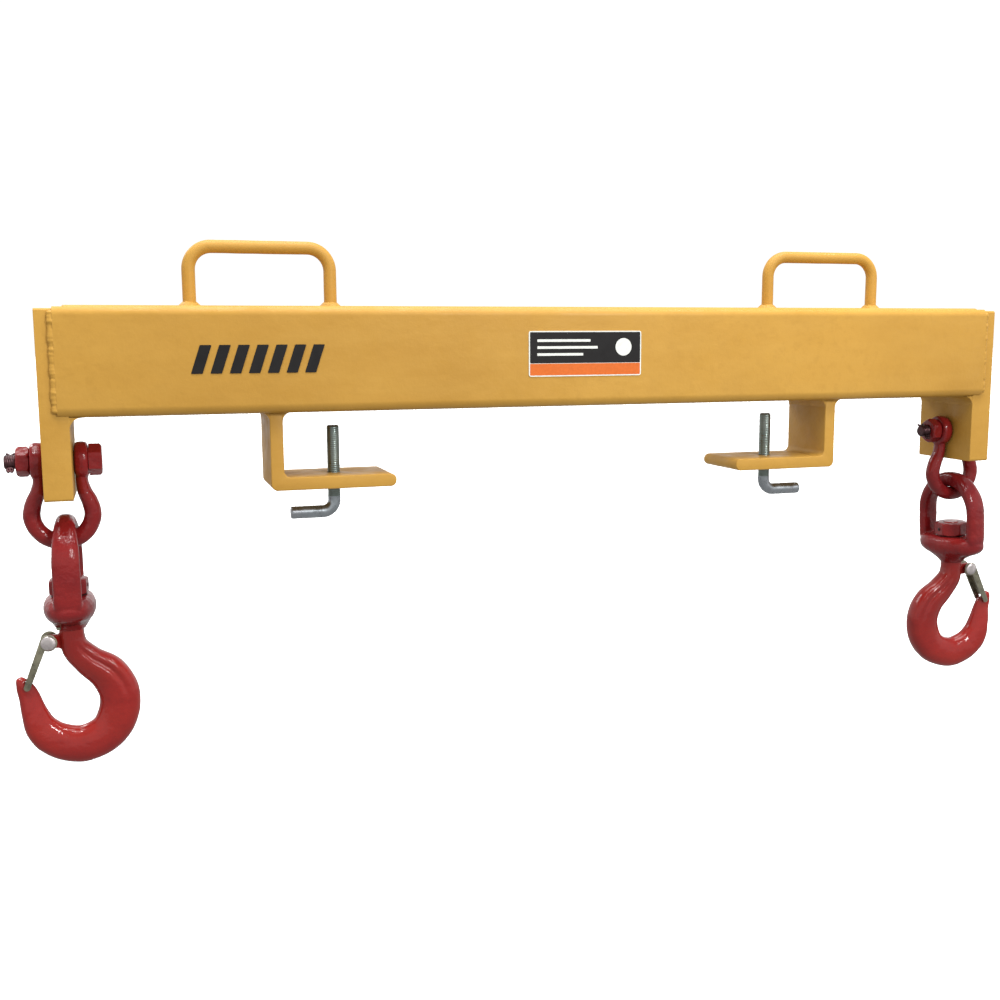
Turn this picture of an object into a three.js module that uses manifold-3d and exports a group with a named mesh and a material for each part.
// Fork-mounted lifting beam: a square steel tube with a lug plate slotted into each end, two lift handles,
// two fork brackets with L-handled clamp screws, and a shackle with a latched swivel hook under each lug.
// Millimetres. X runs along the beam, Y across it, Z up; the origin is the centre of the tube's underside.
import * as THREE from 'three';
import * as BufferGeometryUtils from 'three/addons/utils/BufferGeometryUtils.js';
import Module from 'manifold-3d';

const wasm = await Module();
wasm.setup();

// ---- driving dimensions -------------------------------------------------------------------------------
const GAP = 0.3;                                                // clearance between neighbouring solids
const TUBE = { size: 101.6, wall: 4.76, corner: 9.5, halfLength: 505 };
const LUG = { inner: 495.3, thickness: 25.4, width: 91.5, top: 98.6, bottom: -76.2, boltHole: 10.3 };
const LUG_X = LUG.inner + LUG.thickness / 2;                    // centre plane of a lug and of its hook
const HANDLE = { bar: 12.7, centreX: 315, span: 136, top: 165.1, bend: 22 };
const BRACKET = { outerX: 315, footX: 191, bar: 12.7, width: 76.2, depth: 76.2, corner: 6 };
const SCREW = { x: 248, radius: 6.35, top: -16, legZ: -103.5, legEndX: 292.5, bend: 11 };
const PIN_Z = -42.5;                                            // height of the shackle bolts
const BOW = { stock: 8, jaw: 13.45, ear: 12.5, earRadius: 17.5, insideHalf: 19.4, insideDepth: 69.5 };
const BOLT = { radius: 9.5, endRadius: 6.75, head: 12, nut: 11.8, nutFlat: 12.4, end: 48.5 };
const COTTER = { wire: 1.6, eye: 3.4 };
const BAIL = { halfWidth: 42, limb: 6.2, crossbar: 9, thickTop: 8.2, thickBase: 12.6, shoulderZ: -142 };
const BOSS = { top: -172.6, bottom: -205, bore: 11.9 };
const BOSS_PROFILE = [
  [0, BOSS.bottom], [14, BOSS.bottom], [19.6, -197], [23, -188], [22, -177], [18, BOSS.top], [0, BOSS.top],
];
const SHANK = { neck: 11.5, upper: 9 };
const SWIVEL_NUT = { flat: 17, turn: -5, bottom: -170.9, top: -155.8, pin: 2 };
const WASHER_RADIUS = 16.5;
const LATCH = { x: -21, z: -216.5, hub: 8, length: 47, tip: 3, inside: 7.2, plate: 1.8, lean: 23 };
const LATCH_PIN = { radius: 2.8, head: 7, headHeight: 1.6 };
const LATCH_ARM = { outer: -7.8, outerEnd: -6, inner: -0.4, webTop: 9, webEnd: 37 };
const LATCH_EAR = { radius: 6.2, half: 3.2 };
const TIP_NOTCH = { x: -41.4, z: -256, radius: 3.2 };
const PLACARD = { centreX: 6.5, centreZ: 54, width: 124, height: 46, thickness: 0.6 };
const WELD = 6;                                                 // leg of the fillet welds
const CROSSBAR_Z = PIN_Z - BOW.insideDepth + GAP + BAIL.crossbar;

// ---- paints and metals --------------------------------------------------------------------------------
const yellowPaint = new THREE.MeshStandardMaterial({ color: 0xd2a04c, roughness: 0.38, metalness: 0 });
const redPaint = new THREE.MeshStandardMaterial({ color: 0xa02d2f, roughness: 0.22, metalness: 0 });
const zincSteel = new THREE.MeshStandardMaterial({ color: 0x9a9c94, roughness: 0.32, metalness: 0.9 });
const yellowZinc = new THREE.MeshStandardMaterial({ color: 0xb3ab86, roughness: 0.35, metalness: 0.8 });
const darkSteel = new THREE.MeshStandardMaterial({ color: 0x352a2a, roughness: 0.5, metalness: 0.7 });
const placardFilm = new THREE.MeshStandardMaterial({ color: 0xe8e6e0, roughness: 0.45, metalness: 0 });

// ---- shape helpers ------------------------------------------------------------------------------------
const vec = (x, y, z) => new THREE.Vector3(x, y, z);

function closedMesh(geometry) {
  const bare = geometry.index ? geometry.toNonIndexed() : geometry.clone();
  bare.deleteAttribute('normal');
  bare.deleteAttribute('uv');
  return BufferGeometryUtils.mergeVertices(bare, 1e-4);
}

function solid(geometry) {
  const merged = closedMesh(geometry);
  const vertProperties = Float32Array.from(merged.attributes.position.array);
  const triVerts = Uint32Array.from(merged.index.array);
  return new wasm.Manifold(new wasm.Mesh({ numProp: 3, vertProperties, triVerts }));
}

function geometryOf(manifold) {
  const { vertProperties, triVerts } = manifold.getMesh();
  const geometry = new THREE.BufferGeometry();
  geometry.setAttribute('position', new THREE.BufferAttribute(Float32Array.from(vertProperties), 3));
  geometry.setIndex(Array.from(triVerts));
  return geometry;
}

function cut(body, ...tools) {
  return geometryOf(tools.reduce((left, tool) => left.subtract(solid(tool)), solid(body)));
}

function join(...bodies) {
  return geometryOf(bodies.map(solid).reduce((sum, next) => sum.add(next)));
}

function block(x0, x1, y0, y1, z0, z1) {
  const box = new THREE.BoxGeometry(x1 - x0, y1 - y0, z1 - z0);
  return box.translate((x0 + x1) / 2, (y0 + y1) / 2, (z0 + z1) / 2);
}

// A cylinder along one axis, from one coordinate to the other.
function rod(axis, radius, from, to, sides = 16) {
  const cylinder = new THREE.CylinderGeometry(radius, radius, to - from, sides);
  if (axis === 'x') return cylinder.rotateZ(-Math.PI / 2).translate((from + to) / 2, 0, 0);
  if (axis === 'y') return cylinder.translate(0, (from + to) / 2, 0);
  return cylinder.rotateX(Math.PI / 2).translate(0, 0, (from + to) / 2);
}

// A closed outline from corners [u, v, radius], each corner rounded by its own radius.
function outline(corners) {
  const shape = new THREE.Shape();
  corners.forEach(([u, v, radius = 0], i) => {
    const corner = new THREE.Vector2(u, v);
    const [before, after] = [corners.at(i - 1), corners[(i + 1) % corners.length]].map(([a, b]) =>
      new THREE.Vector2(a, b).sub(corner).setLength(radius).add(corner));
    if (i === 0) shape.moveTo(before.x, before.y);
    else shape.lineTo(before.x, before.y);
    if (radius > 0) shape.quadraticCurveTo(u, v, after.x, after.y);
  });
  shape.closePath();
  return shape;
}

const rectangle = (u0, u1, v0, v1, radius = 0) =>
  outline([[u0, v0, radius], [u1, v0, radius], [u1, v1, radius], [u0, v1, radius]]);

// Extrusions of an outline drawn in (Y, Z), in (X, Z) or in (X, Y).
function extrude(shape, depth, curveSegments = 5) {
  return new THREE.ExtrudeGeometry(shape, { depth, bevelEnabled: false, curveSegments });
}
const YZ_TO_WORLD = new THREE.Matrix4().makeBasis(vec(0, 1, 0), vec(0, 0, 1), vec(1, 0, 0));
const alongX = (shape, x0, x1) => extrude(shape, x1 - x0).applyMatrix4(YZ_TO_WORLD).translate(x0, 0, 0);
const alongY = (shape, y0, y1) => extrude(shape, y1 - y0).rotateX(Math.PI / 2).translate(0, y1, 0);
const alongZ = (shape, z0, z1) => extrude(shape, z1 - z0).translate(0, 0, z0);

// A bar of elliptic section through stations { at, along, wide, thick }: wide is the half width in the
// plane of the bend, thick the half thickness along that plane's normal.
function bar(stations, normal, sides = 12) {
  const geometry = new THREE.CylinderGeometry(1, 1, stations.length - 1, sides, stations.length - 1);
  geometry.translate(0, (stations.length - 1) / 2, 0);
  const position = geometry.attributes.position;
  for (let i = 0; i < position.count; i += 1) {
    const { at, along, wide, thick } = stations[Math.round(position.getY(i))];
    const across = along.clone().cross(normal).normalize();
    const point = at.clone()
      .addScaledVector(across, position.getX(i) * wide)
      .addScaledVector(normal, position.getZ(i) * thick);
    position.setXYZ(i, point.x, point.y, point.z);
  }
  return geometry;
}

// Stations of a round bar bent to one radius at each inner corner of a polyline.
function bentStations(corners, bend, radius, arcSteps = 4) {
  const stations = [];
  const add = (at, along) => stations.push({ at, along, wide: radius, thick: radius });
  const heading = (a, b) => b.clone().sub(a).normalize();
  add(corners[0], heading(corners[0], corners[1]));
  for (let i = 1; i < corners.length - 1; i += 1) {
    const into = heading(corners[i - 1], corners[i]);
    const out = heading(corners[i], corners[i + 1]);
    const start = corners[i].clone().addScaledVector(into, -bend);
    const centre = start.clone().addScaledVector(out, bend);
    for (let k = 0; k <= arcSteps; k += 1) {
      const [c, s] = [Math.cos, Math.sin].map((f) => f((k / arcSteps) * (Math.PI / 2)));
      const at = centre.clone().addScaledVector(out, -bend * c).addScaledVector(into, bend * s);
      add(at, into.clone().multiplyScalar(c).addScaledVector(out, s));
    }
  }
  add(corners.at(-1), heading(corners.at(-2), corners.at(-1)));
  return stations;
}

// Stations of a forged bar through control rows [x or y, z, half width, half thickness], smoothly blended.
function forgedStations(rows, place, count) {
  const path = new THREE.CatmullRomCurve3(rows.map(([u, z]) => place(u, z)), false, 'centripetal');
  const size = new THREE.SplineCurve(rows.map(([, , wide, thick]) => new THREE.Vector2(wide, thick)));
  return Array.from({ length: count }, (_, i) => {
    const t = i / (count - 1);
    const { x: wide, y: thick } = size.getPoint(t);
    return { at: path.getPoint(t), along: path.getTangent(t), wide, thick };
  });
}

const lift = new THREE.Group();

function add(parent, name, geometry, material) {
  const mesh = new THREE.Mesh(closedMesh(geometry), material);
  mesh.name = name;
  parent.add(mesh);
  return mesh;
}

// ---- beam tube and placard ----------------------------------------------------------------------------
function beamTube() {
  const half = TUBE.size / 2;
  const inside = half - TUBE.wall;
  const section = rectangle(-half, half, 0, TUBE.size, TUBE.corner);
  const hollow = rectangle(-inside, inside, TUBE.wall, TUBE.size - TUBE.wall, TUBE.corner - TUBE.wall);
  section.holes.push(hollow);
  const slotHalf = LUG.width / 2 + GAP;
  const lugSlots = [-1, 1].map((side) => {
    const [near, far] = [LUG.inner - GAP, TUBE.halfLength + 1].map((x) => side * x).sort((a, b) => a - b);
    return block(near, far, -slotHalf, slotHalf, -1, TUBE.size + 1);
  });
  return cut(alongX(section, -TUBE.halfLength, TUBE.halfLength), ...lugSlots);
}

function placard() {
  const { centreX, centreZ, width, height, thickness } = PLACARD;
  const plate = rectangle(-width / 2, width / 2, -height / 2, height / 2, 3);
  const back = -TUBE.size / 2 - GAP;
  return alongY(plate, back - thickness, back).translate(centreX, 0, centreZ);
}

// ---- end lugs, handles, fork brackets and clamp screws ------------------------------------------------
function endLug(side) {
  const shape = rectangle(-LUG.width / 2, LUG.width / 2, LUG.bottom, LUG.top, 3);
  shape.holes.push(new THREE.Path().absarc(0, PIN_Z, LUG.boltHole, 0, 2 * Math.PI, true));
  return alongX(shape, side * LUG_X - LUG.thickness / 2, side * LUG_X + LUG.thickness / 2);
}

function handle(side) {
  const [left, right] = [-1, 1].map((leg) => side * HANDLE.centreX + leg * HANDLE.span / 2);
  const foot = TUBE.size + GAP;
  const top = HANDLE.top - HANDLE.bar / 2;
  const corners = [vec(left, 0, foot), vec(left, 0, top), vec(right, 0, top), vec(right, 0, foot)];
  return bar(bentStations(corners, HANDLE.bend, HANDLE.bar / 2), vec(0, 1, 0), 12);
}

function forkBracket(side) {
  const { outerX, footX, bar: t, width, depth, corner } = BRACKET;
  const halfProfile = [
    [outerX, -GAP], [outerX, -depth, corner], [footX, -depth, corner - 1], [footX, t - depth, corner - 1],
    [outerX - t, t - depth, corner], [outerX - t, -GAP],
  ];
  const shape = outline(halfProfile.map(([x, z, radius]) => [side * x, z, radius]));
  const screwHole = rod('z', SCREW.radius + GAP, -depth - 1, t - depth + 1);
  return cut(alongY(shape, -width / 2, width / 2), screwHole.translate(side * SCREW.x, 0, 0));
}

function clampScrew(side) {
  const route = [[SCREW.x, SCREW.top], [SCREW.x, SCREW.legZ], [SCREW.legEndX, SCREW.legZ]];
  const corners = route.map(([x, z]) => vec(side * x, 0, z));
  return bar(bentStations(corners, SCREW.bend, SCREW.radius), vec(0, 1, 0), 12);
}

// ---- weld beads ---------------------------------------------------------------------------------------
// A triangular fillet with its right angle at (u, v) and legs of du and dv along the two axes.
const fillet = (u, v, du, dv) => outline([[u, v], [u + du, v], [u, v + dv]]);

// A profile of [radius, z] turned about Z.
function turned(profile, sides) {
  const points = profile.map(([radius, z]) => new THREE.Vector2(radius, z));
  return new THREE.LatheGeometry(points, sides).rotateX(Math.PI / 2);
}

function footWeld(x) {
  const inner = HANDLE.bar / 2 + GAP;
  const leg = 4;
  const profile = [[inner, 0], [inner + leg, 0], [inner, leg], [inner, 0]];
  return turned(profile, 16).translate(x, 0, TUBE.size + GAP);
}

function addWelds(parent, name, side) {
  const bracketFaces = { outer: BRACKET.outerX + GAP, inner: BRACKET.outerX - BRACKET.bar - GAP };
  for (const [face, x] of Object.entries(bracketFaces)) {
    const leg = face === 'outer' ? WELD : -WELD;
    const bead = alongY(fillet(side * x, -GAP, side * leg, -WELD), -BRACKET.width / 2, BRACKET.width / 2);
    add(parent, `${name}_bracket_weld_${face}`, bead, yellowPaint);
  }
  for (const [leg, end] of [[-1, 'inner'], [1, 'outer']]) {
    const x = side * (HANDLE.centreX + leg * HANDLE.span / 2);
    add(parent, `${name}_handle_weld_${end}`, footWeld(x), yellowPaint);
  }
  const seam = side * (TUBE.halfLength + GAP);
  // The tube's faces stand this proud of the lug.
  const step = (TUBE.size - LUG.width) / 2;
  for (const [face, edge] of [['front', -1], ['back', 1]]) {
    const corner = fillet(seam, edge * (LUG.width / 2 + GAP), side * WELD, edge * (step - 0.85));
    const bead = alongZ(corner, TUBE.corner, TUBE.size - TUBE.corner);
    add(parent, `${name}_lug_weld_${face}`, bead, yellowPaint);
  }
  const inside = side * (LUG.inner - GAP);
  const bottomBead = alongY(fillet(inside, -GAP, -side * WELD, -WELD), -LUG.width / 2, LUG.width / 2);
  add(parent, `${name}_lug_weld_bottom`, bottomBead, yellowPaint);
  const topHalf = LUG.width / 2 - 4;
  const topBead = alongY(fillet(inside, LUG.top + GAP, side * WELD, 2.6), -topHalf, topHalf);
  add(parent, `${name}_lug_weld_top`, topBead, yellowPaint);
}

// ---- shackle: bow, bolt, nut and cotter, about the bolt's centre --------------------------------------
function shackleBow() {
  const limb = BOW.jaw + BOW.ear / 2;
  const round = BOW.insideHalf + BOW.stock;
  const centre = -BOW.insideDepth - BOW.stock + round;
  const arc = Array.from({ length: 9 }, (_, i) => {
    const angle = THREE.MathUtils.degToRad(-190 + i * 25);
    return [round * Math.cos(angle), centre + round * Math.sin(angle), BOW.stock, BOW.stock];
  });
  const neck = [[4, 6, 9], [-14, 6.4, 8.4]];
  const [left, right] = [-limb, limb].map((x) => neck.map((row) => [x, ...row]));
  const rows = [...left, ...arc, ...right.reverse()];
  const bow = bar(forgedStations(rows, (x, z) => vec(x, 0, z), 23), vec(0, 1, 0), 10);
  const ears = [-1, 1].map((side) => {
    const [near, far] = [side * BOW.jaw, side * (BOW.jaw + BOW.ear)].sort((a, b) => a - b);
    return rod('x', BOW.earRadius, near, far, 18);
  });
  return cut(join(bow, ...ears), rod('x', BOLT.radius + GAP, -40, 40));
}

// A hexagon across flats of 2 * flat, its first corner turned by some degrees.
function hexagon(flat, turn = 0) {
  const corner = flat / Math.cos(Math.PI / 6);
  const angles = Array.from({ length: 6 }, (_, i) => THREE.MathUtils.degToRad(60 * i + turn));
  return outline(angles.map((angle) => [corner * Math.cos(angle), corner * Math.sin(angle)]));
}

const EAR_FACE = BOW.jaw + BOW.ear + GAP;
const NUT_FACE = EAR_FACE + BOLT.nut;
const COTTER_X = -(NUT_FACE + 5);

function shackleBolt() {
  const pin = rod('x', BOLT.radius, -EAR_FACE + 1, EAR_FACE + 1);
  const end = rod('x', BOLT.endRadius, -BOLT.end, 0);
  const head = alongX(hexagon(BOLT.nutFlat + 0.4), EAR_FACE, EAR_FACE + BOLT.head);
  const cotterHole = rod('y', COTTER.wire + GAP, -20, 20, 12).translate(COTTER_X, 0, 0);
  return cut(join(pin, end, head), cotterHole);
}

function shackleNut() {
  return cut(alongX(hexagon(BOLT.nutFlat), -NUT_FACE, -EAR_FACE), rod('x', BOLT.endRadius + GAP, -60, 0));
}

function cotter() {
  const leg = rod('y', COTTER.wire, -9, 11, 10).translate(COTTER_X, 0, 0);
  const eye = new THREE.TorusGeometry(COTTER.eye, COTTER.wire - 0.1, 6, 12).translate(COTTER_X, -12, 0);
  return join(leg, eye);
}

// ---- swivel bail, about the hook's axis ---------------------------------------------------------------
function swivelBail() {
  const limb = BAIL.halfWidth - BAIL.limb;
  const rise = CROSSBAR_Z - BAIL.shoulderZ;
  const arch = Array.from({ length: 9 }, (_, i) => {
    const angle = Math.PI - (i * Math.PI) / 8;
    const thick = BAIL.thickTop + (BAIL.thickBase - 1.5 - BAIL.thickTop) * Math.cos(angle) ** 2;
    return [limb * Math.cos(angle), BAIL.shoulderZ + rise * Math.sin(angle), BAIL.crossbar, thick];
  });
  const foot = [BOSS.top - 4, BAIL.limb, BAIL.thickBase - 0.6];
  const rows = [[-limb, ...foot], ...arch, [limb, ...foot]];
  const hoop = bar(forgedStations(rows, (y, z) => vec(0, y, z), 19), vec(1, 0, 0), 10);
  const inner = limb - BAIL.limb;
  const side = BAIL.halfWidth - 0.5;
  const halfBase = [
    [side, BOSS.top + 2, 2], [side, BOSS.top - 14, 7], [24, BOSS.bottom + 8, 5], [13, BOSS.bottom + 2, 2],
  ];
  const floor = [[inner, BOSS.top + 2, 2], [inner - 3, BOSS.top, 2]];
  const half = [...halfBase].reverse().concat(floor);
  const base = outline([...half, ...half.map(([y, z, radius]) => [-y, z, radius]).reverse()]);
  const halfThick = BAIL.thickBase - 1.4;
  const body = join(hoop, alongX(base, -halfThick, halfThick), turned(BOSS_PROFILE, 18));
  return cut(body, rod('z', BOSS.bore, BOSS.bottom - 5, BOSS.top + 20));
}

// ---- swivel nut, its pin, the thrust washer and the hook ----------------------------------------------
const PIN_HEIGHT = (SWIVEL_NUT.top + SWIVEL_NUT.bottom) / 2;
const nutPinHole = () => rod('x', SWIVEL_NUT.pin + GAP, -40, 40, 12).translate(0, 0, PIN_HEIGHT);
const shankHole = () => rod('z', SHANK.upper + GAP, -190, -140);

function swivelNut() {
  const nut = alongZ(hexagon(SWIVEL_NUT.flat, SWIVEL_NUT.turn), SWIVEL_NUT.bottom, SWIVEL_NUT.top);
  return cut(nut, shankHole(), nutPinHole());
}

function nutPin() {
  const reach = SWIVEL_NUT.flat + 1;
  return rod('x', SWIVEL_NUT.pin, -reach, reach, 12).translate(0, 0, PIN_HEIGHT);
}

function thrustWasher() {
  return cut(rod('z', WASHER_RADIUS, BOSS.top + GAP, SWIVEL_NUT.bottom - GAP), shankHole());
}

// The point opens towards -X and the bowl is centred under the shank.
const HOOK_ROWS = [
  [0, -200, 11.5, 11.5], [0.5, -214, 11.5, 11.5], [3.5, -226, 13, 12], [15.5, -239.5, 15, 12.5],
  [31.5, -253, 18, 13], [40.8, -272, 19, 13.5], [39, -294, 19.3, 13.5], [27.5, -312, 18.5, 13.5],
  [5, -321, 18, 13.2], [-17, -315.5, 17, 12.5], [-31, -303, 15.2, 11.5], [-37.5, -286, 12, 9.6],
  [-41.2, -270, 9.8, 6.7], [-45.2, -259.5, 7.9, 5.6], [-48.5, -253, 4.6, 4.4], [-49.5, -250, 2, 2],
];

function hook() {
  const body = bar(forgedStations(HOOK_ROWS, (x, z) => vec(x, 0, z), 33), vec(0, 1, 0), 12);
  const neck = rod('z', SHANK.neck, -204, BOSS.top);
  const stem = rod('z', SHANK.upper, -190, SWIVEL_NUT.top + 1);
  const { radius, half } = LATCH_EAR;
  const ear = rod('y', radius, -half, half).translate(LATCH.x, 0, LATCH.z);
  const earRoot = block(LATCH.x, 0, -half, half, LATCH.z - radius + 0.2, LATCH.z + radius - 0.2);
  const pinHole = rod('y', LATCH_PIN.radius + GAP, -20, 20).translate(LATCH.x, 0, LATCH.z);
  const notch = rod('y', TIP_NOTCH.radius, -20, 20, 12).translate(TIP_NOTCH.x, 0, TIP_NOTCH.z);
  return cut(join(body, neck, stem, ear, earRoot), pinHole, nutPinHole(), notch);
}

// ---- spring latch, about its own pin ------------------------------------------------------------------
// A channel whose cheeks straddle the hook's point, drawn hanging straight down and then swung to it.
function latch() {
  const { hub, tip, length, inside, plate, lean } = LATCH;
  const { outer, outerEnd, inner, webTop, webEnd } = LATCH_ARM;
  const degrees = THREE.MathUtils.degToRad;
  const cheek = new THREE.Shape();
  cheek.absarc(0, 0, hub, -Math.acos(inner / hub), degrees(193), false);
  cheek.absarc(outerEnd + tip, -length, tip, Math.PI, 2 * Math.PI, false);
  cheek.closePath();
  const cheeks = [-1, 1].map((side) => {
    const [near, far] = [side * inside, side * (inside + plate)].sort((a, b) => a - b);
    return alongY(cheek, near, far);
  });
  const edge = (depth) => outer + (outerEnd - outer) * (depth / length);
  const [top, end] = [edge(webTop), edge(webEnd)];
  const web = outline([[top, -webTop], [top + plate, -webTop], [end + plate, -webEnd], [end, -webEnd]]);
  const body = join(...cheeks, alongY(web, -inside - 0.5, inside + 0.5));
  const swung = cut(body, rod('y', LATCH_PIN.radius + GAP, -20, 20)).rotateY(degrees(lean));
  return swung.translate(LATCH.x, 0, LATCH.z);
}

function latchPin() {
  const outside = LATCH.inside + LATCH.plate + GAP;
  const ends = [[-outside - LATCH_PIN.headHeight, -outside], [outside, outside + LATCH_PIN.headHeight]];
  const heads = ends.map(([from, to]) => rod('y', LATCH_PIN.head, from, to));
  const shank = rod('y', LATCH_PIN.radius, -outside - 1, outside + 1);
  return join(shank, ...heads).translate(LATCH.x, 0, LATCH.z);
}

function latchSpring() {
  const coil = rod('y', 5.6, -LATCH.inside + GAP, -LATCH_EAR.half - GAP);
  const ring = cut(coil, rod('y', LATCH_PIN.radius + GAP, -20, 20));
  return closedMesh(ring).translate(LATCH.x, 0, LATCH.z);
}

// ---- assembly -----------------------------------------------------------------------------------------
add(lift, 'beam_tube', beamTube(), yellowPaint);
add(lift, 'info_placard', placard(), placardFilm);

// How each chain hangs: its bail may sit off the middle of the bow, turned about Z and leaning outwards.
const ENDS = [
  { name: 'left', side: -1, offset: 2, bailTurn: 0, lean: 0, hookTurn: 0 },
  { name: 'right', side: 1, offset: 0, bailTurn: 10, lean: -4.2, hookTurn: 176 },
];

for (const { name, side, offset, bailTurn, lean, hookTurn } of ENDS) {
  add(lift, `${name}_end_lug`, endLug(side), yellowPaint);
  add(lift, `${name}_handle`, handle(side), yellowPaint);
  add(lift, `${name}_fork_bracket`, forkBracket(side), yellowPaint);
  add(lift, `${name}_clamp_screw`, clampScrew(side), zincSteel);
  addWelds(lift, name, side);

  const shackle = new THREE.Group();
  shackle.position.set(side * LUG_X, 0, PIN_Z);
  add(shackle, `${name}_shackle_bow`, shackleBow(), redPaint);
  add(shackle, `${name}_shackle_bolt`, shackleBolt(), redPaint);
  add(shackle, `${name}_shackle_nut`, shackleNut(), redPaint);
  add(shackle, `${name}_shackle_cotter`, cotter(), darkSteel);

  const crossbar = new THREE.Group();
  crossbar.position.set(side * LUG_X + offset, 0, CROSSBAR_Z);
  crossbar.rotation.set(0, THREE.MathUtils.degToRad(lean), THREE.MathUtils.degToRad(bailTurn), 'ZYX');
  const bail = new THREE.Group();
  bail.position.set(0, 0, -CROSSBAR_Z);
  add(bail, `${name}_swivel_bail`, swivelBail(), redPaint);

  const hookGroup = new THREE.Group();
  hookGroup.rotation.z = THREE.MathUtils.degToRad(hookTurn - bailTurn);
  add(hookGroup, `${name}_hook`, hook(), redPaint);
  add(hookGroup, `${name}_swivel_nut`, swivelNut(), redPaint);
  add(hookGroup, `${name}_nut_pin`, nutPin(), darkSteel);
  add(hookGroup, `${name}_thrust_washer`, thrustWasher(), zincSteel);
  add(hookGroup, `${name}_latch_pin`, latchPin(), zincSteel);
  add(hookGroup, `${name}_latch_spring`, latchSpring(), darkSteel);
  add(hookGroup, `${name}_latch`, latch(), yellowZinc);

  bail.add(hookGroup);
  crossbar.add(bail);
  lift.add(shackle, crossbar);
}

export default lift;
